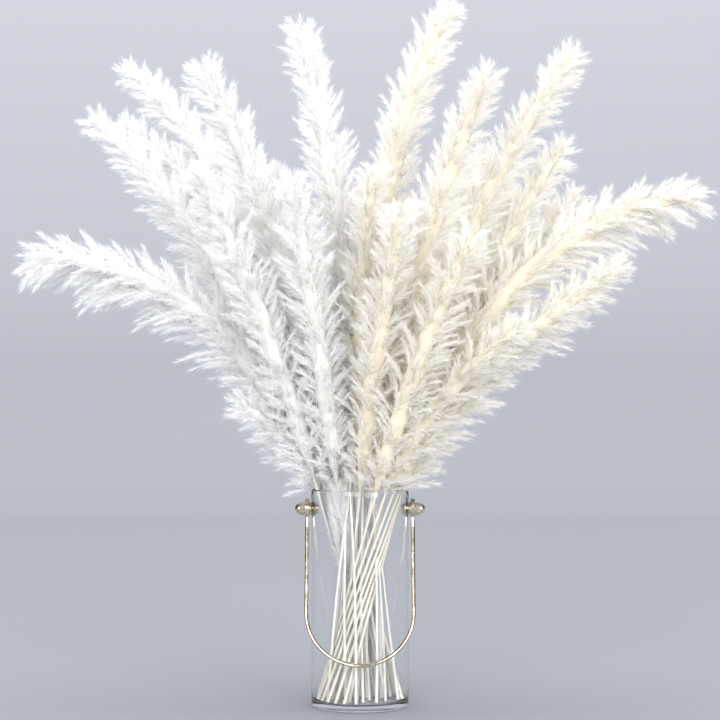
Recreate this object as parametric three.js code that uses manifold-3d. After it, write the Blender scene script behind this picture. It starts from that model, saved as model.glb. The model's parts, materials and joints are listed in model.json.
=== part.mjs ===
// A bundle of dried pampas grass, half bleached white and half ivory, fanned out of a clear
// glass cylinder vase that has a brass bail handle on two through bolts.
// Millimetres, +Z up. The origin is the centre of the vase's underside, and the handle hangs
// at the front, on the -Y side.
import * as THREE from "three";
import { mergeVertices } from "three/addons/utils/BufferGeometryUtils.js";
import Module from "manifold-3d";

const wasm = await Module();
wasm.setup();

// ---- Driving dimensions ----
const gap = 0.3; // between pieces that touch

const vaseDiameter = 90;
const vaseHeight = 200;
const vaseWall = 2.4;
const vaseFloor = 5.5;
const vaseFootBevel = 1.5;
const vaseCornerRadius = 4; // inside, where the wall meets the floor
const vaseSides = 72;

const pivotBelowRim = 18;
const boltDiameter = 6;
const boltHeadDiameter = 10;
const boltHeadThickness = 2.2;
const boltHeadChamfer = 0.8;
const boreClearance = 0.3; // on the radius, in each bored piece
const washerDiameter = 12;
const innerWasherThickness = 1;
const outerWasherThickness = 1.5;
const nutAcrossFlats = 10;
const nutThickness = 4.4;
const nutDomeRadius = 4.7;
const nutCapDepth = 1.2; // metal left between the blind bore and the dome's centre

const eyeDiameter = 18.5;
const eyeThickness = 3.5;
const neckDiameter = 5.6;
const neckLength = 10;
const neckInEye = 1.5; // how far the neck runs up into the eye
const handleWireDiameter = 3.6;
const handleLegLength = 97.5; // from the pivot down to the start of the bow

const waistHeight = 102; // where the stems cross, above the table
const stemFootDiameter = 3.1;
const stemTopDiameter = 2.2;
const stemSides = 8;
const stemWallClearance = 0.65;
const straightAboveRim = 6;

// The stems cross in three nested rings. At the waist each stem passes its ring's distance
// from the vase's axis, and at the rim its ring's reach. All lean the same way round, as in a
// hand-tied spiral, so that no two meet. The outer ring's stems lean on the glass.
const rings = {
  inner: { distance: 4, reach: 6.5 },
  middle: { distance: 11, reach: 25 },
  outer: { distance: 19, reach: Infinity },
};

// One row for each stalk. "toward" is the compass direction that it leans to, in degrees from
// +X through +Y. "tip" is its lean from the vertical at the plume's tip, and "bend" is how
// late it bends: 1 is an even curve. "bare" is the bare stem between the rim and the plume.
const stalks = [
  { dye: "white", ring: "outer", toward: 194, tip: 96, bend: 1.2, bare: 12, plume: 366, girth: 20 },
  { dye: "white", ring: "outer", toward: 207, tip: 74, bend: 0.7, bare: 10, plume: 130, girth: 14 },
  { dye: "white", ring: "outer", toward: 181, tip: 47, bend: 1.2, bare: 14, plume: 405, girth: 19 },
  { dye: "white", ring: "outer", toward: 168, tip: 62, bend: 2.6, bare: 18, plume: 400, girth: 18 },
  { dye: "white", ring: "outer", toward: 155, tip: 60, bend: 2.8, bare: 22, plume: 468, girth: 20 },
  { dye: "white", ring: "outer", toward: 220, tip: 34, bend: 1.2, bare: 26, plume: 300, girth: 18 },
  { dye: "white", ring: "outer", toward: 142, tip: 40, bend: 1.4, bare: 20, plume: 330, girth: 17 },
  { dye: "white", ring: "middle", toward: 206, tip: 33, bend: 2.0, bare: 12, plume: 405, girth: 20 },
  { dye: "white", ring: "middle", toward: 172, tip: 34, bend: 1.4, bare: 24, plume: 330, girth: 18 },
  { dye: "white", ring: "middle", toward: 135, tip: 30, bend: 1.2, bare: 40, plume: 300, girth: 18 },
  { dye: "white", ring: "middle", toward: 240, tip: 20, bend: 1.0, bare: 20, plume: 280, girth: 18 },
  { dye: "white", ring: "inner", toward: 150, tip: 19, bend: 1.8, bare: 60, plume: 395, girth: 20 },
  { dye: "ivory", ring: "inner", toward: 28, tip: 36, bend: 2.6, bare: 60, plume: 425, girth: 20 },
  { dye: "ivory", ring: "inner", toward: 285, tip: 24, bend: 1.4, bare: 34, plume: 270, girth: 18 },
  { dye: "ivory", ring: "middle", toward: 325, tip: 31, bend: 1.9, bare: 12, plume: 390, girth: 20 },
  { dye: "ivory", ring: "middle", toward: 5, tip: 38, bend: 1.2, bare: 20, plume: 435, girth: 20 },
  { dye: "ivory", ring: "middle", toward: 40, tip: 34, bend: 1.2, bare: 40, plume: 320, girth: 18 },
  { dye: "ivory", ring: "middle", toward: 297, tip: 24, bend: 1.0, bare: 12, plume: 260, girth: 18 },
  { dye: "ivory", ring: "outer", toward: 320, tip: 32, bend: 1.0, bare: 12, plume: 250, girth: 18 },
  { dye: "ivory", ring: "outer", toward: 334, tip: 58, bend: 0.6, bare: 10, plume: 200, girth: 16 },
  { dye: "ivory", ring: "outer", toward: 348, tip: 58, bend: 0.4, bare: 10, plume: 305, girth: 19 },
  { dye: "ivory", ring: "outer", toward: 1, tip: 88, bend: 1.5, bare: 12, plume: 402, girth: 20 },
  { dye: "ivory", ring: "outer", toward: 14, tip: 34, bend: 1.2, bare: 22, plume: 350, girth: 18 },
  { dye: "ivory", ring: "outer", toward: 27, tip: 54, bend: 1.2, bare: 24, plume: 330, girth: 18 },
  { dye: "ivory", ring: "outer", toward: 40, tip: 40, bend: 1.2, bare: 20, plume: 320, girth: 18 },
];

// A plume swells to its girth, or until it nearly meets a neighbour. Its outline's pairs are
// a share of its length and a share of its girth.
const plumeClearance = 1.2;
const plumeSeat = 0.8; // between the stem's end and the plume's
const plumeSides = 8;
const plumeOutline = [
  [0, 0.14],
  [0.06, 0.4],
  [0.14, 0.62],
  [0.24, 0.8],
  [0.36, 0.95],
  [0.5, 1],
  [0.64, 0.92],
  [0.78, 0.74],
  [0.9, 0.48],
  [1, 0.12],
];

// ---- Sizes that follow from them ----
const vaseRadius = vaseDiameter / 2;
const vaseInnerRadius = vaseRadius - vaseWall;
const pivotHeight = vaseHeight - pivotBelowRim;
const boltRadius = boltDiameter / 2;
const boreRadius = boltRadius + boreClearance;
const washerRadius = washerDiameter / 2;
// A flat washer meets the round wall inside the vase at the washer's own edge.
const innerWasherFace = Math.sqrt(vaseInnerRadius ** 2 - washerRadius ** 2) - gap;
const boltHeadFace = innerWasherFace - innerWasherThickness - gap;
const outerWasherFace = vaseRadius + gap;
const eyeFace = outerWasherFace + outerWasherThickness + gap;
const nutFace = eyeFace + eyeThickness + gap;
const boltEnd = nutFace + nutThickness;
const handleHalfWidth = eyeFace + eyeThickness / 2;
const handleReach = handleLegLength + handleHalfWidth; // from the pivot to the bow's lowest point
const handleTilt = Math.asin((vaseRadius + handleWireDiameter / 2 + gap) / handleReach);
const wallReach = vaseInnerRadius - stemFootDiameter / 2 - stemWallClearance;
const footClearance = vaseFloor + gap + stemFootDiameter / 4; // a leaning foot's lower edge

// ---- Materials ----
const clearGlass = new THREE.MeshStandardMaterial({
  name: "clear_glass",
  color: "#eef3f3",
  roughness: 0.04,
  metalness: 0,
  transparent: true,
  opacity: 0.3,
});
const brass = new THREE.MeshStandardMaterial({
  name: "brass",
  color: "#c9a468",
  roughness: 0.25,
  metalness: 1,
});
const dyes = {
  white: { plume: "#f1f2f4", stem: "#e6e4dc" },
  ivory: { plume: "#efe7d3", stem: "#ddd0ad" },
};
for (const [name, dye] of Object.entries(dyes)) {
  dye.plumeMaterial = new THREE.MeshStandardMaterial({
    name: name + "_plume",
    color: dye.plume,
    roughness: 0.95,
    metalness: 0,
  });
  dye.stemMaterial = new THREE.MeshStandardMaterial({
    name: name + "_stem",
    color: dye.stem,
    roughness: 0.6,
    metalness: 0,
  });
}

const bundle = new THREE.Group();

function addMesh(name, geometry, material, parent = bundle) {
  const mesh = new THREE.Mesh(geometry, material);
  mesh.name = name;
  geometry.computeVertexNormals();
  parent.add(mesh);
  return mesh;
}

// ---- Solids ----
function toSolid(geometry) {
  const plain = geometry.clone();
  plain.deleteAttribute("normal");
  plain.deleteAttribute("uv");
  const merged = mergeVertices(plain, 1e-4);
  return new wasm.Manifold(
    new wasm.Mesh({
      numProp: 3,
      vertProperties: merged.attributes.position.array,
      triVerts: new Uint32Array(merged.index.array),
    }),
  );
}

function toGeometry(solid) {
  const mesh = solid.getMesh();
  const geometry = new THREE.BufferGeometry();
  geometry.setAttribute("position", new THREE.BufferAttribute(mesh.vertProperties, 3));
  geometry.setIndex(new THREE.BufferAttribute(mesh.triVerts, 1));
  return geometry;
}

// A round bar along X from one x to another, tapering if the end radii differ.
function barAlongX(fromX, toX, startRadius, endRadius = startRadius, sides = 32) {
  const bar = new THREE.CylinderGeometry(endRadius, startRadius, toX - fromX, sides);
  bar.rotateZ(-Math.PI / 2);
  bar.translate((fromX + toX) / 2, 0, 0);
  return bar;
}

// A closed tube through the points, with its own radius at each. The section is carried along
// without twist.
function sweep(points, radii, sides) {
  const positions = [];
  const indices = [];
  const last = points.length - 1;
  let across = null;
  points.forEach((point, i) => {
    const before = points[Math.max(i - 1, 0)];
    const after = points[Math.min(i + 1, last)];
    const along = after.clone().sub(before).normalize();
    if (across === null) {
      across = Math.abs(along.x) < 0.9 ? new THREE.Vector3(1, 0, 0) : new THREE.Vector3(0, 1, 0);
    }
    across.addScaledVector(along, -across.dot(along)).normalize();
    const up = along.clone().cross(across);
    for (let side = 0; side < sides; side += 1) {
      const angle = (side / sides) * 2 * Math.PI;
      const vertex = point
        .clone()
        .addScaledVector(across, radii[i] * Math.cos(angle))
        .addScaledVector(up, radii[i] * Math.sin(angle));
      positions.push(vertex.x, vertex.y, vertex.z);
    }
  });
  for (let ring = 0; ring < last; ring += 1) {
    for (let side = 0; side < sides; side += 1) {
      const next = (side + 1) % sides;
      const a = ring * sides + side;
      const b = ring * sides + next;
      indices.push(a, b, b + sides, a, b + sides, a + sides);
    }
  }
  for (let side = 1; side < sides - 1; side += 1) {
    indices.push(0, side + 1, side);
    indices.push(last * sides, last * sides + side, last * sides + side + 1);
  }
  const geometry = new THREE.BufferGeometry();
  geometry.setAttribute("position", new THREE.Float32BufferAttribute(positions, 3));
  geometry.setIndex(indices);
  return geometry;
}

// ---- The vase ----
function vaseGeometry() {
  const lip = vaseWall / 2;
  const outline = [
    new THREE.Vector2(0, 0),
    new THREE.Vector2(vaseRadius - vaseFootBevel, 0),
    new THREE.Vector2(vaseRadius, vaseFootBevel),
  ];
  const lipSteps = 6;
  for (let step = 0; step <= lipSteps; step += 1) {
    const angle = (step / lipSteps) * Math.PI;
    outline.push(
      new THREE.Vector2(
        vaseRadius - lip + lip * Math.cos(angle),
        vaseHeight - lip + lip * Math.sin(angle),
      ),
    );
  }
  const cornerSteps = 4;
  for (let step = 0; step <= cornerSteps; step += 1) {
    const angle = (step / cornerSteps) * (Math.PI / 2);
    outline.push(
      new THREE.Vector2(
        vaseInnerRadius - vaseCornerRadius + vaseCornerRadius * Math.cos(angle),
        vaseFloor + vaseCornerRadius - vaseCornerRadius * Math.sin(angle),
      ),
    );
  }
  outline.push(new THREE.Vector2(0, vaseFloor));
  const shell = new THREE.LatheGeometry(outline, vaseSides);
  shell.rotateX(Math.PI / 2);
  const bore = barAlongX(-vaseDiameter, vaseDiameter, boreRadius);
  bore.translate(0, 0, pivotHeight);
  return toGeometry(toSolid(shell).subtract(toSolid(bore)));
}

addMesh("vase_glass", vaseGeometry(), clearGlass);

// ---- The pivots: a bolt from inside, two washers and a domed nut on each side ----
function boltSolid() {
  const headEnd = boltHeadFace - boltHeadThickness;
  const headRadius = boltHeadDiameter / 2;
  const head = barAlongX(headEnd, boltHeadFace, headRadius - boltHeadChamfer, headRadius);
  const shank = barAlongX(headEnd + boltHeadThickness / 2, boltEnd, boltRadius);
  return toSolid(head).add(toSolid(shank));
}

function washerSolid(face, thickness) {
  const disc = toSolid(barAlongX(face, face + thickness, washerRadius, washerRadius, 40));
  return disc.subtract(toSolid(barAlongX(face - 1, face + thickness + 1, boreRadius)));
}

function nutSolid() {
  const hexRadius = nutAcrossFlats / Math.sqrt(3);
  const hex = new THREE.CylinderGeometry(hexRadius, hexRadius, nutThickness, 6);
  hex.rotateZ(-Math.PI / 2);
  hex.translate(nutFace + nutThickness / 2, 0, 0);
  const domeCentre = nutFace + nutThickness + gap;
  const dome = new THREE.SphereGeometry(nutDomeRadius, 24, 16);
  dome.translate(domeCentre, 0, 0);
  const boreEnd = Math.min(boltEnd + gap, domeCentre + nutDomeRadius - nutCapDepth);
  const bore = barAlongX(nutFace - nutDomeRadius, boreEnd, boreRadius);
  const behind = barAlongX(nutFace - nutDomeRadius, nutFace, 2 * nutDomeRadius);
  return toSolid(hex).add(toSolid(dome)).subtract(toSolid(behind)).subtract(toSolid(bore));
}

const sidesOfVase = { right: 0, left: Math.PI };
for (const [side, turn] of Object.entries(sidesOfVase)) {
  const pivot = new THREE.Group();
  pivot.position.z = pivotHeight;
  pivot.rotation.z = turn;
  bundle.add(pivot);
  const innerWasher = washerSolid(innerWasherFace - innerWasherThickness, innerWasherThickness);
  const outerWasher = washerSolid(outerWasherFace, outerWasherThickness);
  addMesh("bolt_" + side, toGeometry(boltSolid()), brass, pivot);
  addMesh("inner_washer_" + side, toGeometry(innerWasher), brass, pivot);
  addMesh("outer_washer_" + side, toGeometry(outerWasher), brass, pivot);
  addMesh("domed_nut_" + side, toGeometry(nutSolid()), brass, pivot);
}

// ---- The bail handle, built hanging straight down from its pivots ----
function handleSolid() {
  const legSteps = 3;
  const bowSteps = 28;
  const neckTop = eyeDiameter / 2 - neckInEye;
  const legTop = neckTop + neckLength / 2;
  const path = [];
  for (let step = 0; step < legSteps; step += 1) {
    const drop = legTop + (handleLegLength - legTop) * (step / legSteps);
    path.push(new THREE.Vector3(handleHalfWidth, 0, -drop));
  }
  for (let step = 0; step <= bowSteps; step += 1) {
    const angle = (step / bowSteps) * Math.PI;
    path.push(
      new THREE.Vector3(
        handleHalfWidth * Math.cos(angle),
        0,
        -handleLegLength - handleHalfWidth * Math.sin(angle),
      ),
    );
  }
  for (let step = legSteps - 1; step >= 0; step -= 1) {
    path.push(new THREE.Vector3(-handleHalfWidth, 0, path[step].z));
  }
  const wire = sweep(path, path.map(() => handleWireDiameter / 2), 16);
  let handle = toSolid(wire);
  for (const side of [-1, 1]) {
    const inner = side * eyeFace;
    const outer = side * (eyeFace + eyeThickness);
    const low = Math.min(inner, outer);
    const high = Math.max(inner, outer);
    const neck = new THREE.CylinderGeometry(
      neckDiameter / 2,
      handleWireDiameter / 2,
      neckLength,
      20,
    );
    neck.rotateX(Math.PI / 2);
    neck.translate(side * handleHalfWidth, 0, -neckTop - neckLength / 2);
    // The neck is dressed flush with the eye, so it clears the washer and the nut.
    const slab = new THREE.BoxGeometry(eyeThickness, eyeDiameter, 4 * neckLength);
    slab.translate(side * handleHalfWidth, 0, -neckTop - neckLength / 2);
    const eye = toSolid(barAlongX(low, high, eyeDiameter / 2, eyeDiameter / 2, 48));
    handle = handle.add(toSolid(neck).intersect(toSolid(slab))).add(eye);
  }
  const pin = barAlongX(-2 * vaseDiameter, 2 * vaseDiameter, boreRadius);
  return handle.subtract(toSolid(pin));
}

const handlePivot = new THREE.Group();
handlePivot.position.z = pivotHeight;
handlePivot.rotation.x = -handleTilt;
bundle.add(handlePivot);
addMesh("handle", toGeometry(handleSolid()), brass, handlePivot);

// ---- The stalks ----
const toRadians = Math.PI / 180;

// The lean from the vertical that takes a stem from its ring's distance to its ring's reach.
function ringLean({ distance, reach }) {
  const run = Math.sqrt(Math.min(reach, wallReach) ** 2 - distance ** 2);
  const rise = Math.max(vaseHeight - waistHeight, waistHeight - vaseFloor);
  return Math.atan(run / rise);
}

// The stalk's centre line, as evenly spaced points from its cut foot to the plume's tip.
function centreLine(stalk) {
  const spacing = 2;
  const ring = rings[stalk.ring];
  const startLean = ringLean(ring);
  const tipLean = stalk.tip * toRadians;
  const toward = stalk.toward * toRadians;
  const out = new THREE.Vector3(Math.cos(toward), Math.sin(toward), 0);
  const aside = new THREE.Vector3(Math.sin(toward), -Math.cos(toward), 0);
  const straight = (vaseHeight + straightAboveRim - footClearance) / Math.cos(startLean);
  const curved = stalk.bare + stalk.plume;
  const point = aside.multiplyScalar(ring.distance);
  point.addScaledVector(out, (footClearance - waistHeight) * Math.tan(startLean));
  point.z = footClearance;
  const points = [point.clone()];
  const steps = Math.ceil((straight + curved) / spacing);
  for (let step = 1; step <= steps; step += 1) {
    const share = Math.max(0, (step - 0.5) * spacing - straight) / curved;
    const lean = startLean + (tipLean - startLean) * share ** stalk.bend;
    point.addScaledVector(out, spacing * Math.sin(lean));
    point.z += spacing * Math.cos(lean);
    points.push(point.clone());
  }
  const at = (length) => {
    const step = Math.min(Math.floor(length / spacing), steps - 1);
    return points[step].clone().lerp(points[step + 1], length / spacing - step);
  };
  return { points, at, straight, length: straight + curved };
}

const lines = stalks.map(centreLine);

// Half the way from a point to the nearest centre line of another stalk.
function roomAt(point, ownIndex) {
  let nearest = Infinity;
  lines.forEach((line, index) => {
    if (index === ownIndex) return;
    for (const other of line.points) {
      nearest = Math.min(nearest, point.distanceTo(other));
    }
  });
  return nearest / 2 - plumeClearance;
}

stalks.forEach((stalk, index) => {
  const number = String(index + 1).padStart(2, "0");
  const { stemMaterial, plumeMaterial } = dyes[stalk.dye];
  const line = lines[index];
  const plumeStart = line.straight + stalk.bare;
  const stemStops = [0, line.straight / 2, line.straight];
  const bareSteps = Math.ceil(stalk.bare / 20);
  for (let step = 1; step <= bareSteps; step += 1) {
    stemStops.push(line.straight + (stalk.bare * step) / bareSteps);
  }
  const stemRadii = stemStops.map((stop) =>
    THREE.MathUtils.lerp(stemFootDiameter / 2, stemTopDiameter / 2, stop / plumeStart),
  );
  const stem = sweep(stemStops.map(line.at), stemRadii, stemSides);
  addMesh("stem_" + number, stem, stemMaterial);

  const plumeFoot = plumeStart + plumeSeat;
  const plumeLength = line.length - plumeFoot;
  const plumePoints = plumeOutline.map(([share]) => line.at(plumeFoot + share * plumeLength));
  const plumeRadii = plumeOutline.map(([, width], ring) =>
    Math.min(width * stalk.girth, roomAt(plumePoints[ring], index)),
  );
  addMesh("plume_" + number, sweep(plumePoints, plumeRadii, plumeSides), plumeMaterial);
});

export default bundle;
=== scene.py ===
"""A bundle of dried pampas grass, half bleached white and half ivory, in a glass cylinder vase.

Metres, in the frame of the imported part: +Z up, the origin at the centre of the vase's underside.
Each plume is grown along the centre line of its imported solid, and each stem along its own.
"""

import json
import math

import bpy
import numpy as np
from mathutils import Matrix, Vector


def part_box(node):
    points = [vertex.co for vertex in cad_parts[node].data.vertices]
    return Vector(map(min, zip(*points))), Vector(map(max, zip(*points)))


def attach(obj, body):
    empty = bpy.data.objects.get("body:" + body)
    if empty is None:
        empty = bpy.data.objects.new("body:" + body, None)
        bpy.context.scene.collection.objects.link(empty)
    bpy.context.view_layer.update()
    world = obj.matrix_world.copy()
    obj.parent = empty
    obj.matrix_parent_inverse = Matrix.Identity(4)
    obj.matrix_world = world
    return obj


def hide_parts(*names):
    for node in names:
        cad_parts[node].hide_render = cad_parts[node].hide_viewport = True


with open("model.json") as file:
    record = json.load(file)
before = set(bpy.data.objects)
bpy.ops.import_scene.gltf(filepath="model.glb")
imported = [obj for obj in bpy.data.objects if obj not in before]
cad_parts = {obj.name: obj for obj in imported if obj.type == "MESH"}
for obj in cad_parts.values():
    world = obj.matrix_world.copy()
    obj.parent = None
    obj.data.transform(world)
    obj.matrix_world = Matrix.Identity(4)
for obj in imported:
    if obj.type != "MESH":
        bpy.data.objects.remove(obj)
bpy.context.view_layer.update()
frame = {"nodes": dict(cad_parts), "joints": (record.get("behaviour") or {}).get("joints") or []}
nodes = frame["nodes"]

MM = 0.001
GOLDEN_ANGLE = 2.39996  # radians, from each branch to the next round its axis
RING_SIDES = 8  # the corners of each ring of a packed stem or plume
LAST_WHITE = 12  # the stalks up to this number are bleached white, and the others are ivory


# ---- Building node trees ----


class Tree:
    """Short ways to add nodes to a node tree and to feed their sockets."""

    def __init__(self, tree):
        self.tree = tree

    def feed(self, socket, value):
        if isinstance(value, bpy.types.Node):
            value = value.outputs[0]
        if isinstance(value, bpy.types.NodeSocket):
            self.tree.links.new(value, socket)
        else:
            socket.default_value = value

    def add(self, kind, inputs=(), **settings):
        """A new node, with its settings made first, because they decide which sockets it has."""
        made = self.tree.nodes.new(kind)
        for name, value in settings.items():
            setattr(made, name, value)
        for key, value in dict(inputs).items():
            self.feed(made.inputs[key], value)
        return made


class ShapeTree(Tree):
    """A geometry node tree with named inputs."""

    def __init__(self, name, sizes):
        super().__init__(bpy.data.node_groups.new(name, "GeometryNodeTree"))
        interface = self.tree.interface
        interface.new_socket("Geometry", in_out="INPUT", socket_type="NodeSocketGeometry")
        interface.new_socket("Geometry", in_out="OUTPUT", socket_type="NodeSocketGeometry")
        for label, kind in sizes.items():
            interface.new_socket(label, in_out="INPUT", socket_type="NodeSocket" + kind)
        self.entry = self.tree.nodes.new("NodeGroupInput")

    def size(self, label):
        return self.entry.outputs[label]

    def math(self, operation, first, second=0.0, third=0.0):
        values = {0: first, 1: second, 2: third}
        return self.add("ShaderNodeMath", values, operation=operation).outputs[0]

    def vector(self, operation, first, second=None):
        made = self.add("ShaderNodeVectorMath", {0: first}, operation=operation)
        if second is not None:
            self.feed(made.inputs[3 if operation == "SCALE" else 1], second)
        return made.outputs[1 if operation in ("DOT_PRODUCT", "LENGTH") else 0]

    def compose(self, x=0.0, y=0.0, z=0.0):
        return self.add("ShaderNodeCombineXYZ", {0: x, 1: y, 2: z}).outputs[0]

    def seed(self, draw):
        """The seed of one random draw, which differs from plume to plume."""
        return self.math("ADD", self.size("Seed"), float(draw))

    def spread(self, low, high, draw):
        """A random number from low to high for each element."""
        made = self.add("FunctionNodeRandomValue", {8: self.seed(draw)}, data_type="FLOAT")
        self.feed(made.inputs[2], low)
        self.feed(made.inputs[3], high)
        return made.outputs[1]

    def direction(self, draw):
        """A random vector for each element, each part from -1 to 1."""
        made = self.add("FunctionNodeRandomValue", {8: self.seed(draw)}, data_type="FLOAT_VECTOR")
        made.inputs[0].default_value = (-1, -1, -1)
        made.inputs[1].default_value = (1, 1, 1)
        return made.outputs[0]

    def ramp(self, value, points):
        """A smooth curve through points (value, result), both from 0 to 1."""
        made = self.add("ShaderNodeFloatCurve", {1: value})
        curve = made.mapping.curves[0]
        for point, (at, result) in zip(curve.points, (points[0], points[-1])):
            point.location = (at, result)
        for at, result in points[1:-1]:
            curve.points.new(at, result)
        made.mapping.update()
        return made.outputs[0]

    def store(self, geometry, name, value, domain="POINT", data_type="FLOAT"):
        return self.add(
            "GeometryNodeStoreNamedAttribute",
            {"Geometry": geometry, "Name": name, "Value": value},
            data_type=data_type,
            domain=domain,
        )

    def read(self, name, data_type="FLOAT"):
        return self.add(
            "GeometryNodeInputNamedAttribute", {"Name": name}, data_type=data_type
        ).outputs[0]

    def facing(self, along):
        """The rotation that turns +Z to a direction."""
        return self.add("FunctionNodeAlignRotationToVector", {"Vector": along}, axis="Z").outputs[0]

    def join(self, *pieces):
        made = self.add("GeometryNodeJoinGeometry")
        for piece in pieces:
            self.tree.links.new(piece.outputs[0], made.inputs[0])
        return made

    def tube(self, line, radius, sides):
        """A capped round tube along a curve, where radius may change along it. It keeps how far
        each vertex is along the curve, and round it, as tube_run and tube_side."""
        sized = self.add("GeometryNodeSetCurveRadius", {"Curve": line, "Radius": radius})
        run = self.add("GeometryNodeSplineParameter").outputs["Factor"]
        sized = self.store(sized, "tube_run", run)
        ring = self.add(
            "GeometryNodeCurvePrimitiveCircle", {"Resolution": sides, "Radius": 1.0}, mode="RADIUS"
        )
        ring = self.store(ring, "tube_side", run)
        reach = self.add("GeometryNodeInputRadius")
        swept = {"Curve": sized, "Profile Curve": ring, "Scale": reach, "Fill Caps": True}
        return self.add("GeometryNodeCurveToMesh", swept)

    def end(self, geometry, material):
        """Finishes the tree with real meshes that carry one material."""
        real = self.add("GeometryNodeRealizeInstances", {"Geometry": geometry})
        coated = self.add("GeometryNodeSetMaterial", {"Geometry": real, "Material": material})
        last = self.tree.nodes.new("NodeGroupOutput")
        self.feed(last.inputs[0], coated)
        return self.tree


def grown(name, tree, lines, values):
    """The mesh that a tree makes of lines of points, as one object at the origin."""
    start = bpy.data.meshes.new(name + "_line")
    points = []
    edges = []
    for line in lines:
        edges += [(len(points) + step, len(points) + step + 1) for step in range(len(line) - 1)]
        points += [tuple(point) for point in line]
    start.from_pydata(points, edges, [])
    seedling = bpy.data.objects.new(name + "_line", start)
    bpy.context.scene.collection.objects.link(seedling)
    modifier = seedling.modifiers.new("growth", "NODES")
    modifier.node_group = tree
    for item in tree.interface.items_tree:
        if item.in_out == "INPUT" and item.name in values:
            modifier[item.identifier] = values[item.name]
    graph = bpy.context.evaluated_depsgraph_get()
    mesh = bpy.data.meshes.new_from_object(seedling.evaluated_get(graph), depsgraph=graph)
    bpy.data.objects.remove(seedling)
    mesh.name = name
    made = bpy.data.objects.new(name, mesh)
    bpy.context.scene.collection.objects.link(made)
    return made


def shade_smooth(piece):
    for face in piece.data.polygons:
        face.use_smooth = True


# ---- Materials ----


def new_material(name, **sockets):
    """A material of one Principled shader, with its plain values, and a way to add nodes to it."""
    made = bpy.data.materials.new(name)
    made.use_nodes = True
    shader = made.node_tree.nodes["Principled BSDF"]
    for label, value in sockets.items():
        shader.inputs[label.replace("_", " ")].default_value = value
    return made, Tree(made.node_tree), shader


def colour_ramp(tree, value, stops):
    made = tree.add("ShaderNodeValToRGB", {0: value})
    elements = made.color_ramp.elements
    while len(elements) < len(stops):
        elements.new(0.5)
    for element, (at, colour) in zip(elements, stops):
        element.position = at
        element.color = (*colour, 1)
    return made.outputs[0]


def fluff_material(name, painted_shade, body, tip):
    """Silky hair: its colour runs from painted shade deep in the plume to the tips, with a tone for
    each hair.
    """
    made, tree, shader = new_material(
        name,
        Roughness=0.62,
        Specular_IOR_Level=0.25,
        Sheen_Weight=0.1,
        Sheen_Roughness=0.5,
        Subsurface_Weight=0.6,
        Subsurface_Radius=(1.0, 0.95, 0.85),
        Subsurface_Scale=2 * MM,
    )
    place = tree.add("ShaderNodeUVMap", uv_map="OFBake")
    split = tree.add("ShaderNodeSeparateXYZ", {0: place.outputs[0]})
    # Low on the map the colour is painted shade, darker where the inside of the plume falls in
    # shade.
    along = colour_ramp(tree, split.outputs[1], [(0.1, painted_shade), (0.3, body), (0.85, tip)])
    tone = tree.add("ShaderNodeMapRange", {0: split.outputs[0], 3: 0.92, 4: 1.0}).outputs[0]
    shaded = tree.add(
        "ShaderNodeMix", {0: 1.0, 6: along}, data_type="RGBA", blend_type="MULTIPLY"
    )
    grey = tree.add("ShaderNodeCombineColor", {0: tone, 1: tone, 2: tone})
    tree.feed(shaded.inputs[7], grey)
    tree.feed(shader.inputs["Base Color"], shaded.outputs[2])
    return made


# The first colour of each fluff is painted shade, for the hair deep inside the plume.
white_fluff = fluff_material(
    "white_fluff", (0.71, 0.70, 0.67), (0.955, 0.95, 0.935), (0.96, 0.96, 0.955)
)
ivory_fluff = fluff_material(
    "ivory_fluff", (0.75, 0.69, 0.57), (0.96, 0.935, 0.87), (0.96, 0.945, 0.90)
)


# ---- Plumes ----


def branch_roots(g, line):
    """Points along the axis of a plume where its branches leave it, and the direction and the
    length of each branch."""
    roots = g.add(
        "GeometryNodeCurveToPoints", {"Curve": line, "Count": g.size("Branches")}, mode="COUNT"
    )
    # A root's place is 0 at the foot of the plume and 1 at its tip.
    order = g.add("GeometryNodeInputIndex").outputs[0]
    place = g.math("DIVIDE", order, g.size("Branches"))
    turn = g.math("MULTIPLY_ADD", order, GOLDEN_ANGLE, g.spread(-1.3, 1.3, 1))
    around = g.add(
        "ShaderNodeVectorRotate",
        {"Vector": roots.outputs["Normal"], "Axis": roots.outputs["Tangent"], "Angle": turn},
        rotation_type="AXIS_ANGLE",
    ).outputs[0]
    leave = g.math("MULTIPLY", g.size("Leave Angle"), g.spread(0.6, 1.35, 2))
    near_foot = g.ramp(place, [(0.0, 1.0), (0.05, 0.6), (0.14, 0.14), (0.3, 0.0), (1.0, 0.0)])
    splay = g.math("MULTIPLY_ADD", near_foot, g.size("Foot Spread"), 1.0)
    leave = g.math("MULTIPLY", leave, splay)
    forward = g.vector("SCALE", roots.outputs["Tangent"], g.math("COSINE", leave))
    sideways = g.vector("SCALE", around, g.math("SINE", leave))
    start = g.vector("ADD", forward, sideways)
    share = g.ramp(
        place, [(0.0, 0.62), (0.12, 0.88), (0.35, 1.0), (0.65, 0.94), (0.88, 0.7), (1.0, 0.42)]
    )
    blunt = g.math("MULTIPLY", g.math("POWER", place, 3.0), g.size("Tip Fullness"))
    reach = g.math("MULTIPLY", g.size("Branch Length"), g.math("ADD", share, blunt))
    reach = g.math("MULTIPLY", reach, g.spread(0.7, 1.1, 3))
    kept = g.store(roots.outputs["Points"], "around", around, data_type="FLOAT_VECTOR")
    kept = g.store(kept, "reach", reach)
    kept = g.store(kept, "branch_tone", g.spread(0.0, 1.0, 4))
    return kept, start, reach


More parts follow.
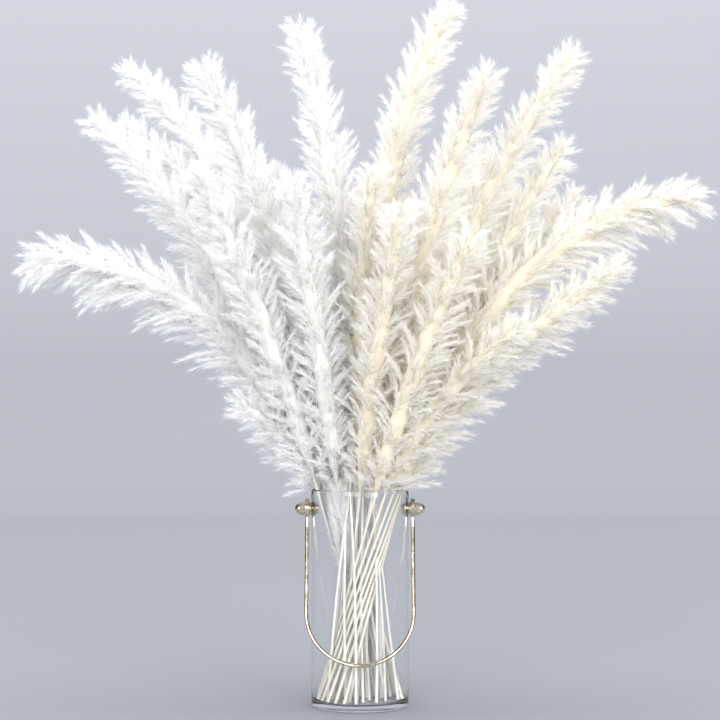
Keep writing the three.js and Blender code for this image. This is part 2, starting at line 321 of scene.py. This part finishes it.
def bent_branches(g, roots, start, reach):
    """A branch on each root. All are one straight line of unit length, scaled and turned."""
    bare = 0.28  # the share of a branch next to the axis, left out because the core hides it
    points = 5
    ends = {"Start": (0, 0, bare), "End": (0, 0, 1)}
    straight = g.add("GeometryNodeCurvePrimitiveLine", ends, mode="POINTS")
    split = g.add("GeometryNodeResampleCurve", {"Curve": straight, "Count": points})
    factor = g.add("GeometryNodeSplineParameter").outputs["Factor"]
    split = g.store(split, "out", g.math("MULTIPLY_ADD", factor, 1.0 - bare, bare))
    scale = g.compose(reach, reach, reach)
    placed = g.add(
        "GeometryNodeInstanceOnPoints",
        {"Points": roots, "Instance": split, "Rotation": g.facing(start), "Scale": scale},
    )
    branches = g.add("GeometryNodeRealizeInstances", {"Geometry": placed})

    # Each branch curls outwards, and its own weight bends it down.
    out = g.read("out")
    size = g.math("MULTIPLY", g.read("reach"), g.math("MULTIPLY", out, out))
    outwards = g.math("MULTIPLY", size, g.size("Outward Curl"))
    curl = g.vector("SCALE", g.read("around", "FLOAT_VECTOR"), outwards)
    downwards = g.math("MULTIPLY", g.size("Droop"), -1.0)
    fall = g.compose(0.0, 0.0, g.math("MULTIPLY", size, downwards))
    offset = g.vector("ADD", curl, fall)
    return g.add("GeometryNodeSetPosition", {"Geometry": branches, "Offset": offset})


def hair_coat(g, branches):
    """Hairs on every side of each branch, which lean towards its end."""
    feet = g.add(
        "GeometryNodeCurveToPoints",
        {"Curve": branches, "Length": g.size("Hair Spacing")},
        mode="LENGTH",
    )
    out = g.read("out")
    tangent = feet.outputs["Tangent"]
    side = g.vector("NORMALIZE", g.vector("CROSS_PRODUCT", tangent, g.direction(5)))
    lean = g.math("MULTIPLY", g.spread(0.1, 1.0, 6), g.ramp(out, [(0.3, 1.0), (1.0, 0.45)]))
    hair = g.vector(
        "ADD",
        g.vector("SCALE", tangent, g.math("COSINE", lean)),
        g.vector("SCALE", side, g.math("SINE", lean)),
    )
    length = g.math("MULTIPLY", g.size("Hair Length"), g.spread(0.65, 1.2, 7))
    length = g.math("MULTIPLY", length, g.ramp(out, [(0.0, 1.0), (0.5, 1.0), (1.0, 0.66)]))
    half = g.math("MULTIPLY", g.size("Hair Width"), 0.5)
    tone = g.math("MULTIPLY_ADD", g.read("branch_tone"), 0.6, g.spread(0.0, 0.36, 8))
    feet = g.store(feet.outputs["Points"], "tone", tone)
    # A hair's place out along its branch sets its height on the colour map, so hair near the axis
    # takes the painted shade colour.
    feet = g.store(feet, "depth", g.math("MULTIPLY", out, 0.6))

    # One hair is a slim pyramid. Its vertices take slightly different places on the colour map,
    # so that each of its faces covers some of the map.
    map_step = 0.015
    map_length = 0.34
    spike = g.add(
        "GeometryNodeMeshCone",
        {"Vertices": 3, "Radius Top": 0.0, "Radius Bottom": 1.0, "Depth": 1.0},
        fill_type="NGON",
    ).outputs["Mesh"]
    corner = g.add("ShaderNodeSeparateXYZ", {0: g.add("GeometryNodeInputPosition")})
    aside = g.math("MULTIPLY_ADD", corner.outputs[0], map_step, map_step)
    lift = g.math("MULTIPLY_ADD", corner.outputs[1], map_step, map_step)
    spike = g.store(spike, "map_u", aside)
    spike = g.store(spike, "map_v", g.math("MULTIPLY_ADD", corner.outputs[2], map_length, lift))
    scale = g.compose(half, half, length)
    coat = g.add(
        "GeometryNodeInstanceOnPoints",
        {"Points": feet, "Instance": spike, "Rotation": g.facing(hair), "Scale": scale},
    )
    coat = g.add("GeometryNodeRealizeInstances", {"Geometry": coat})
    map_u = g.math("ADD", g.read("tone"), g.read("map_u"))
    map_v = g.math("ADD", g.read("depth"), g.read("map_v"))
    on_map = g.compose(map_u, map_v, 0.0)
    return g.store(coat, "OFBake", on_map, domain="CORNER", data_type="FLOAT2")


def core_and_twigs(g, line, branches):
    """The oldest hair, matted round the axis as a lumpy core, and the thin stalk in each branch,
    both in painted shade.
    """
    core_sides = 12
    twig_sides = 3
    lump_scale = 95.0
    factor = g.add("GeometryNodeSplineParameter").outputs["Factor"]
    core_share = g.ramp(
        factor, [(0.0, 0.08), (0.07, 0.6), (0.22, 1.0), (0.62, 0.92), (0.9, 0.6), (1.0, 0.12)]
    )
    core = g.tube(line, g.math("MULTIPLY", g.size("Core Radius"), core_share), core_sides)
    lumps = g.add("ShaderNodeTexNoise", {"Scale": lump_scale, "Detail": 3.0}).outputs[0]
    lumps = g.math("MULTIPLY", g.math("SUBTRACT", lumps, 0.5), g.size("Core Radius"))
    swell = g.vector("SCALE", g.add("GeometryNodeInputNormal"), g.math("MULTIPLY", lumps, 0.9))
    core = g.add("GeometryNodeSetPosition", {"Geometry": core, "Offset": swell})
    taper = g.math("SUBTRACT", 1.0, g.math("MULTIPLY", factor, 0.75))
    twigs = g.tube(branches, g.math("MULTIPLY", g.size("Branch Radius"), taper), twig_sides)
    # Both sit low on the colour map, where it gives the darker colour that is painted shade of the
    # plume's inside.
    map_u = g.math("MULTIPLY_ADD", g.read("tube_side"), 0.5, 0.3)
    map_v = g.math("MULTIPLY_ADD", g.read("tube_run"), 0.08, 0.02)
    on_map = g.compose(map_u, map_v, 0.0)
    stalks = g.join(core, twigs)
    return g.store(stalks, "OFBake", on_map, domain="CORNER", data_type="FLOAT2")


def plume_tree():
    """Branches leave the axis by the golden angle and bend over, and each carries fine hair."""
    g = ShapeTree(
        "pampas_plume",
        {
            "Branches": "Int",
            "Branch Length": "Float",
            "Tip Fullness": "Float",
            "Leave Angle": "Float",
            "Foot Spread": "Float",
            "Outward Curl": "Float",
            "Droop": "Float",
            "Hair Spacing": "Float",
            "Hair Length": "Float",
            "Hair Width": "Float",
            "Core Radius": "Float",
            "Branch Radius": "Float",
            "Seed": "Int",
            "Material": "Material",
        },
    )
    line = g.add("GeometryNodeMeshToCurve", {0: g.entry.outputs[0]})
    branches = bent_branches(g, *branch_roots(g, line))
    whole = g.join(hair_coat(g, branches), core_and_twigs(g, line, branches))
    return g.end(whole, g.size("Material"))


def unique_vertices(node):
    """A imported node's vertices with doubles merged, and which of them share an edge."""
    mesh = nodes[node].data
    points = np.array([vertex.co for vertex in mesh.vertices])
    keys, index = np.unique(np.round(points, 5), axis=0, return_inverse=True)
    index = index.reshape(-1)
    links = {place: set() for place in range(len(keys))}
    for edge in mesh.edges:
        first, second = (int(index[vertex]) for vertex in edge.vertices)
        if first != second:
            links[first].add(second)
            links[second].add(first)
    return keys, links


def rings_of(node, foot):
    """The centres and radii of a swept solid's rings, in order from the ring nearest to foot."""
    points, links = unique_vertices(node)
    near = np.argsort(np.linalg.norm(points - np.array(foot), axis=1))[:RING_SIDES]
    centres = []
    radii = []
    seen = set()
    ring = {int(place) for place in near}
    while ring:
        around = points[sorted(ring)]
        centre = around.mean(axis=0)
        centres.append(centre)
        radii.append(float(np.linalg.norm(around - centre, axis=1).mean()))
        seen |= ring
        ring = {other for place in ring for other in links[place]} - seen
    return centres, radii


def smooth_line(centres, count):
    """Evenly stepped points of a Catmull-Rom curve through the centres."""
    ends = [2 * centres[0] - centres[1], *centres, 2 * centres[-1] - centres[-2]]
    line = []
    for step in range(count):
        at = step / (count - 1) * (len(centres) - 1)
        piece = min(int(at), len(centres) - 2)
        t = at - piece
        a, b, c, d = ends[piece : piece + 4]
        line.append(
            0.5
            * (
                2 * b
                + (c - a) * t
                + (2 * a - 5 * b + 4 * c - d) * t * t
                + (3 * b - 3 * c + d - a) * t**3
            )
        )
    return line


def plume_line(centres, short_of_tip):
    """The line that a plume's branches leave. It starts down the stem, for the lowest branches, and
    stops short of the tip by the reach of the last ones."""
    below_foot = 20 * MM
    points = 120
    downwards = centres[0] - centres[1]
    foot = centres[0] + downwards * below_foot / np.linalg.norm(downwards)
    line = smooth_line([foot, *centres], points)
    left = 0.0
    while left < short_of_tip:
        left += np.linalg.norm(line[-1] - line[-2])
        line.pop()
    return line


def stem_end(number, top):
    """The middle of a stem's highest or lowest ring."""
    points, _ = unique_vertices("stem_" + number)
    order = np.argsort(points[:, 2])
    return points[order[-RING_SIDES:] if top else order[:RING_SIDES]].mean(axis=0)


def numbers_of(kind):
    """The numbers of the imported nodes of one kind, in order, as in their names."""
    return [name.split("_")[1] for name in sorted(nodes) if name.startswith(kind + "_")]


def is_white(number):
    return int(number) <= LAST_WHITE


DROOPING = ("01", "22")  # the two that bow over to the sides
TIP_REACH = 21 * MM  # from where a plume's line ends to the end of its last hairs
LONG_TIP_REACH = {"01": 31 * MM, "02": 38 * MM, "21": 36 * MM}  # plumes with a longer last tuft
plume_growth = plume_tree()


def fluff_sizes(number, length, radius):
    """The sizes of one plume's branches and hair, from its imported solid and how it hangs."""
    hanging = number in DROOPING
    full_radius = 20 * MM
    branch_spacing = 1.07 * MM
    girth = 0.55 + 0.45 * radius / full_radius
    return {
        "Branches": int(length / branch_spacing),
        "Branch Length": (52 * MM if hanging else 40 * MM) * girth,
        "Tip Fullness": 0.12 if hanging else 0.05,
        "Leave Angle": math.radians(34 if hanging else 33),
        "Foot Spread": 0.45,
        "Outward Curl": 0.1,
        "Droop": 0.2 if hanging else 0.08,
        "Hair Spacing": 0.46 * MM,
        "Hair Length": 12.5 * MM,
        "Hair Width": 0.62 * MM,
        "Core Radius": (10.5 * MM if hanging else 8.5 * MM) * girth,
        "Branch Radius": 0.22 * MM,
        "Seed": 100 * int(number),
        "Material": white_fluff if is_white(number) else ivory_fluff,
    }


def fluff(number):
    """The fluff of one plume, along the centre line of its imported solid."""
    centres, radii = rings_of("plume_" + number, stem_end(number, top=True))
    line = plume_line(centres, LONG_TIP_REACH.get(number, TIP_REACH))
    length = sum(np.linalg.norm(b - a) for a, b in zip(line, line[1:]))
    plume = grown("fluff_" + number, plume_growth, [line], fluff_sizes(number, length, max(radii)))
    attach(plume, "vase")
    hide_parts("plume_" + number)


for number in numbers_of("plume"):
    fluff(number)


# ---- Stems ----


def stem_tree():
    """A dry reed: a tapered round stalk with a slightly raised ring at each joint."""
    g = ShapeTree(
        "reed_stem",
        {
            "Foot Radius": "Float",
            "Top Radius": "Float",
            "Joint Spacing": "Float",
            "Joint Rise": "Float",
            "First Joint": "Float",
            "Material": "Material",
        },
    )
    line = g.add("GeometryNodeMeshToCurve", {0: g.entry.outputs[0]})
    spline = g.add("GeometryNodeSplineParameter")
    taper = g.add(
        "ShaderNodeMapRange",
        {0: spline.outputs["Factor"], 3: g.size("Foot Radius"), 4: g.size("Top Radius")},
    ).outputs[0]
    run = g.math("DIVIDE", spline.outputs["Length"], g.size("Joint Spacing"))
    beside = g.math("ABSOLUTE", g.math("WRAP", g.math("ADD", run, g.size("First Joint")), 0.5, -0.5))
    joint_share = 0.035
    sides = 12
    hump = g.math("MAXIMUM", g.math("SUBTRACT", 1.0, g.math("DIVIDE", beside, joint_share)), 0.0)
    swell = g.math("MULTIPLY_ADD", hump, g.size("Joint Rise"), 1.0)
    reed = g.tube(line, g.math("MULTIPLY", taper, swell), sides)
    reed = g.store(reed, "along", run)
    return g.end(reed, g.size("Material"))


def reed_material(name, pale, dark, joint):
    """Dry straw: long fibres, blotches of age and a darker ring at each joint."""
    made, tree, shader = new_material(name, Roughness=0.55, Specular_IOR_Level=0.35)
    place = tree.add("ShaderNodeTexCoord").outputs["Object"]
    stretched = tree.add("ShaderNodeMapping", {0: place, 3: (1400, 1400, 26)})
    fibres = tree.add("ShaderNodeTexNoise", {"Vector": stretched, "Scale": 1.0, "Detail": 3.0})
    patches = tree.add("ShaderNodeTexNoise", {"Vector": place, "Scale": 38.0, "Detail": 2.0})
    shade = tree.add(
        "ShaderNodeMath", {0: fibres.outputs[0], 1: patches.outputs[0]}, operation="MULTIPLY"
    )
    colour = colour_ramp(tree, shade, [(0.12, dark), (0.34, pale)])
    run = tree.add("ShaderNodeAttribute", attribute_name="along").outputs["Fac"]
    beside = tree.add("ShaderNodeMath", {0: run, 1: 0.5, 2: -0.5}, operation="WRAP")
    beside = tree.add("ShaderNodeMath", {0: beside}, operation="ABSOLUTE")
    ring = tree.add("ShaderNodeMapRange", {0: beside, 1: 0.0, 2: 0.05, 3: 0.7, 4: 0.0})
    aged = tree.add("ShaderNodeMix", {0: ring, 6: colour}, data_type="RGBA")
    aged.inputs[7].default_value = (*joint, 1)
    tree.feed(shader.inputs["Base Color"], aged.outputs[2])
    bump = tree.add("ShaderNodeBump", {"Height": fibres.outputs[0], "Strength": 0.35})
    bump.inputs["Distance"].default_value = 0.2 * MM
    tree.feed(shader.inputs["Normal"], bump)
    return made


white_reed = reed_material("white_reed", (0.96, 0.96, 0.95), (0.66, 0.65, 0.62), (0.58, 0.55, 0.50))
ivory_reed = reed_material("ivory_reed", (0.96, 0.95, 0.92), (0.64, 0.61, 0.54), (0.54, 0.49, 0.40))
reed_growth = stem_tree()


def stem(number):
    """One reed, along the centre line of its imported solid. Its joints are at places of its own."""
    centres, radii = rings_of("stem_" + number, stem_end(number, top=False))
    points = 56
    sizes = {
        "Foot Radius": radii[0],
        "Top Radius": radii[-1],
        "Joint Spacing": (58 + 7 * (int(number) % 5)) * MM,
        "Joint Rise": 0.16,
        "First Joint": 0.13 * (int(number) % 7),
        "Material": white_reed if is_white(number) else ivory_reed,
    }
    reed = grown("reed_" + number, reed_growth, [smooth_line(centres, points)], sizes)
    shade_smooth(reed)
    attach(reed, "vase")
    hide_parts("stem_" + number)


for number in numbers_of("stem"):
    stem(number)


def wisps(number):
    """Thin fluff that grows on one stem between two heights inside the glass."""
    low = 112 * MM
    high = 197 * MM
    points = 160
    centres, _ = rings_of("stem_" + number, stem_end(number, top=False))
    line = [point for point in smooth_line(centres, points) if low < point[2] < high]
    sizes = fluff_sizes(number, high - low, 20 * MM)
    sizes.update(
        {
            "Branches": 150,
            "Core Radius": 1.2 * MM,
            "Branch Length": 24 * MM,
            "Leave Angle": math.radians(17),
            "Foot Spread": 0.0,
            "Outward Curl": 0.05,
            "Droop": 0.0,
            "Hair Length": 11 * MM,
        }
    )
    made = grown("wisps_" + number, plume_growth, [line], sizes)
    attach(made, "vase")


wisps("08")
wisps("11")


# ---- Vase ----


def clear_glass_material():
    """Clear soda glass. Lamps reach what stands inside it."""
    made, tree, shader = new_material(
        "clear_glass",
        Base_Color=(0.97, 0.985, 0.985, 1),
        Roughness=0.0,
        IOR=1.5,
        Transmission_Weight=1.0,
    )
    path = tree.add("ShaderNodeLightPath")
    clear = tree.add("ShaderNodeBsdfTransparent", {0: (0.98, 0.985, 0.985, 1)})
    seen = tree.add(
        "ShaderNodeMixShader",
        {0: path.outputs["Is Shadow Ray"], 1: shader.outputs[0], 2: clear.outputs[0]},
    )
    output = made.node_tree.nodes["Material Output"]
    tree.feed(output.inputs["Surface"], seen)
    return made


def turned(name, profile, sides):
    """A surface of revolution about Z, from a profile of points (radius, z). It is a closed solid
    where the profile runs from axis to axis."""
    on_axis = 1e-9
    verts = []
    rows = []
    for radius, z in profile:
        if radius < on_axis:
            rows.append([len(verts)] * sides)
            verts.append((0, 0, z))
            continue
        rows.append(list(range(len(verts), len(verts) + sides)))
        for side in range(sides):
            angle = 2 * math.pi * side / sides
            verts.append((radius * math.cos(angle), radius * math.sin(angle), z))
    faces = []
    for low, high in zip(rows, rows[1:]):
        for side in range(sides):
            after = (side + 1) % sides
            corners = dict.fromkeys([low[side], low[after], high[after], high[side]])
            if len(corners) > 2:
                faces.append(list(corners))
    mesh = bpy.data.meshes.new(name)
    mesh.from_pydata(verts, [], faces)
    made = bpy.data.objects.new(name, mesh)
    bpy.context.scene.collection.objects.link(made)
    shade_smooth(made)
    return made


def arc(centre, radius, start, end, steps):
    """Points (radius, z) of an arc, with its angles in degrees."""
    points = []
    for step in range(steps + 1):
        angle = math.radians(start + (end - start) * step / steps)
        points.append((centre[0] + radius * math.cos(angle), centre[1] + radius * math.sin(angle)))
    return points


def bored(piece, radius, height):
    """Drills one straight hole through a piece along X, for the bolts."""
    drill = bpy.data.objects.new("drill", bpy.data.meshes.new("drill"))
    sides = 32
    reach = 200 * MM
    ring = [2 * math.pi * side / sides for side in range(sides)]
    verts = [
        (end * reach, radius * math.cos(angle), height + radius * math.sin(angle))
        for end in (-1, 1)
        for angle in ring
    ]
    faces = [(sides + k, sides + (k + 1) % sides, (k + 1) % sides, k) for k in range(sides)]
    faces += [tuple(range(sides)), tuple(range(2 * sides - 1, sides - 1, -1))]
    drill.data.from_pydata(verts, [], faces)
    bpy.context.scene.collection.objects.link(drill)
    cut = piece.modifiers.new("bores", "BOOLEAN")
    cut.operation = "DIFFERENCE"
    cut.solver = "EXACT"
    cut.object = drill
    graph = bpy.context.evaluated_depsgraph_get()
    mesh = bpy.data.meshes.new_from_object(piece.evaluated_get(graph), depsgraph=graph)
    piece.modifiers.clear()
    piece.data = mesh
    bpy.data.objects.remove(drill)


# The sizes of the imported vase: its inner radius is the least at its rim, and its floor is the
# lowest place near its axis that is above its underside.
pivot_height = frame["joints"][0]["pos_m"][2]
vase_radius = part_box("vase_glass")[1].x
vase_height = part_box("vase_glass")[1].z
vase_points, _ = unique_vertices("vase_glass")
heights = vase_points[:, 2]
from_axis = np.linalg.norm(vase_points[:, :2], axis=1)
inner_radius = float(from_axis[heights > vase_height - 1 * MM].min())
floor_height = float(heights[(heights > 1 * MM) & (from_axis < 30 * MM)].min())


def vase_body():
    """The glass cylinder, with a fire-polished rim, a rounded foot, a slightly hollow base and the
    bores for the bolts."""
    wall = vase_radius - inner_radius
    foot_round = 2.2 * MM
    inside_round = 4.5 * MM
    hollow = 1.1 * MM
    foot_ring = vase_radius - 9 * MM
    bore_radius = 3.3 * MM
    rim_start = vase_height - wall / 2
    steps = 24
    profile = [(0, hollow), (foot_ring * 0.5, hollow * 0.96), (foot_ring * 0.85, hollow * 0.55)]
    profile.append((foot_ring, 0.12 * MM))
    profile.append((foot_ring + 1.5 * MM, 0))
    profile += arc((vase_radius - foot_round, foot_round), foot_round, -90, 0, 8)
    outside = rim_start - foot_round
    profile += [(vase_radius, foot_round + outside * step / steps) for step in range(1, steps)]
    profile += arc((vase_radius - wall / 2, rim_start), wall / 2, 0, 180, 12)
    inside = rim_start - floor_height - inside_round
    profile += [(inner_radius, rim_start - inside * step / steps) for step in range(1, steps)]
    middle = (inner_radius - inside_round, floor_height + inside_round)
    profile += arc(middle, inside_round, 0, -90, 8)
    profile.append((inner_radius * 0.5, floor_height))
    profile.append((0, floor_height))
    vase = turned("vase_body", profile, 144)
    bored(vase, bore_radius, pivot_height)
    vase.data.materials.clear()
    vase.data.materials.append(clear_glass_material())
    shade_smooth(vase)
    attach(vase, "vase")
    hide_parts("vase_glass")


vase_body()


def straws():
    """Thin dry leaf straws that stand between the stems, from the floor of the vase up into the
    plumes. They are too thin to matter to anything the vase touches."""
    count = 22
    steps = 24
    from_wall = 4 * MM
    above_rim = 20 * MM
    bow_reach = 2.5 * MM
    lines = []
    for straw in range(count):
        turn = GOLDEN_ANGLE * straw + 0.6
        out = (inner_radius - from_wall) * math.sqrt((straw + 0.6) / count)
        foot = Vector((out * math.cos(turn), out * math.sin(turn), floor_height + 0.8 * MM))
        lean = turn + 0.9 * math.sin(3.1 * straw)
        top_out = 0.35 * out + 4 * MM * abs(math.sin(1.7 * straw))
        top = (top_out * math.cos(lean), top_out * math.sin(lean), vase_height + above_rim)
        bow = Vector((math.cos(5 * straw), math.sin(5 * straw), 0)) * bow_reach
        line = []
        for step in range(steps + 1):
            share = step / steps
            line.append(foot.lerp(Vector(top), share) + bow * math.sin(math.pi * share))
        lines.append(line)
    sizes = {
        "Foot Radius": 1.5 * MM,
        "Top Radius": 0.9 * MM,
        "Joint Spacing": 70 * MM,
        "Joint Rise": 0.1,
        "First Joint": 0.4,
        "Material": white_reed,
    }
    made = grown("straws", reed_growth, lines, sizes)
    shade_smooth(made)
    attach(made, "vase")


straws()


# ---- Brass ----


def brass_material():
    """Polished pale brass, with fine rub marks, a little tarnish and small dents."""
    made, tree, shader = new_material("brass", Metallic=1.0)
    place = tree.add("ShaderNodeTexCoord").outputs["Object"]
    tarnish = tree.add("ShaderNodeTexNoise", {"Vector": place, "Scale": 90.0, "Detail": 4.0})
    colour = colour_ramp(
        tree, tarnish.outputs[0], [(0.34, (0.44, 0.35, 0.23)), (0.56, (0.80, 0.72, 0.58))]
    )
    tree.feed(shader.inputs["Base Color"], colour)
    rubs = tree.add("ShaderNodeTexNoise", {"Vector": place, "Scale": 900.0, "Detail": 3.0})
    rough = tree.add("ShaderNodeMapRange", {0: rubs.outputs[0], 1: 0.3, 2: 0.7, 3: 0.1, 4: 0.26})
    tree.feed(shader.inputs["Roughness"], rough)
    bump = tree.add("ShaderNodeBump", {"Height": rubs.outputs[0], "Strength": 0.12})
    bump.inputs["Distance"].default_value = 0.1 * MM
    tree.feed(shader.inputs["Normal"], bump)
    return made


brass = brass_material()
for name in sorted(nodes):
    if name.startswith(("bolt", "inner_washer", "outer_washer", "domed_nut", "handle")):
        nodes[name].data.materials.clear()
        nodes[name].data.materials.append(brass)


# ---- Camera, backdrop and light ----

camera_data = bpy.data.cameras.new("camera")
camera_data.lens = 94.3
camera_data.sensor_width = 36
camera = bpy.data.objects.new("camera", camera_data)
camera.location = (0, -1.75, 0.28)
camera.rotation_euler = (math.radians(91.3), 0, 0)
bpy.context.scene.collection.objects.link(camera)
bpy.context.scene.camera = camera


def studio():
    """A round floor that curves up into a wall, so every view has the same plain background. Light
    passes through the wall, and only the floor throws any back."""
    floor_reach = 3.0
    bend = 1.0
    wall_top = 3.6
    sides = 96
    painted_light_run = 6.0  # metres out along the floor and then up the wall, where the painted light gradient ends
    floor = turned("studio_floor", [(0, 0), (0.8, 0), (1.6, 0), (2.4, 0), (floor_reach, 0)], sides)
    rise = arc((floor_reach, bend), bend, -90, 0, 24)
    wall = turned("studio_wall", [*rise, (floor_reach + bend, wall_top)], sides)
    wall.visible_diffuse = False
    wall.visible_glossy = False
    wall.visible_shadow = False
    material, tree, shader = new_material("studio_paper", Roughness=0.9)
    place = tree.add("ShaderNodeTexCoord").outputs["Object"]
    height = tree.add("ShaderNodeSeparateXYZ", {0: place}).outputs[2]
    flat = tree.add("ShaderNodeVectorMath", {0: place, 1: (1, 1, 0)}, operation="MULTIPLY")
    out = tree.add("ShaderNodeVectorMath", {0: flat.outputs[0]}, operation="LENGTH").outputs["Value"]
    run = tree.add("ShaderNodeMath", {0: out, 1: height}, operation="ADD")
    shade = tree.add("ShaderNodeMapRange", {0: run, 1: 0.0, 2: painted_light_run})
    # The paper's colour is painted light and shade: lighter out across the floor, darker through the
    # bend where the lamps light it most, and lighter again up the wall as if lit from above.
    stops = [
        (0.0, (0.325, 0.329, 0.363)),
        (0.167, (0.365, 0.37, 0.405)),
        (0.5, (0.41, 0.415, 0.455)),
        (0.55, (0.38, 0.385, 0.423)),
        (0.70, (0.355, 0.36, 0.396)),
        (0.74, (0.38, 0.385, 0.422)),
        (0.917, (0.48, 0.486, 0.525)),
    ]
    tree.feed(shader.inputs["Base Color"], colour_ramp(tree, shade, stops))
    for part in (floor, wall):
        part.data.materials.append(material)


def area_light(name, place, target, size, power):
    data = bpy.data.lights.new(name, "AREA")
    data.shape = "RECTANGLE"
    data.size, data.size_y = size
    data.energy = power
    made = bpy.data.objects.new(name, data)
    made.location = place
    made.rotation_euler = (Vector(target) - Vector(place)).to_track_quat("-Z", "Y").to_euler()
    made.visible_camera = False
    bpy.context.scene.collection.objects.link(made)


def room_light():
    """Soft light from all round. Shiny things see a darker room than the one that lights the
    fluff, so brass has dark edges."""
    lit = 1.16
    mirrored = 0.16
    world = bpy.data.worlds.new("studio")
    world.use_nodes = True
    background = world.node_tree.nodes["Background"]
    background.inputs["Color"].default_value = (0.95, 0.96, 1.0, 1)
    tree = Tree(world.node_tree)
    path = tree.add("ShaderNodeLightPath")
    strength = tree.add(
        "ShaderNodeMapRange", {0: path.outputs["Is Glossy Ray"], 3: lit, 4: mirrored}
    )
    tree.feed(background.inputs["Strength"], strength)
    bpy.context.scene.world = world


studio()
area_light("key_light", (-1.9, -5.4, 1.8), (0, 0, 0.25), (3.6, 3.0), 170)
area_light("fill_light", (2.7, -5.2, 1.6), (0, 0, 0.25), (3.6, 2.8), 205)
area_light("top_light", (0, 0.1, 2.4), (0, 0, 0.3), (2.0, 1.2), 12)
room_light()
bpy.context.scene.view_settings.view_transform = "Standard"
bpy.context.scene.cycles.diffuse_bounces = 10
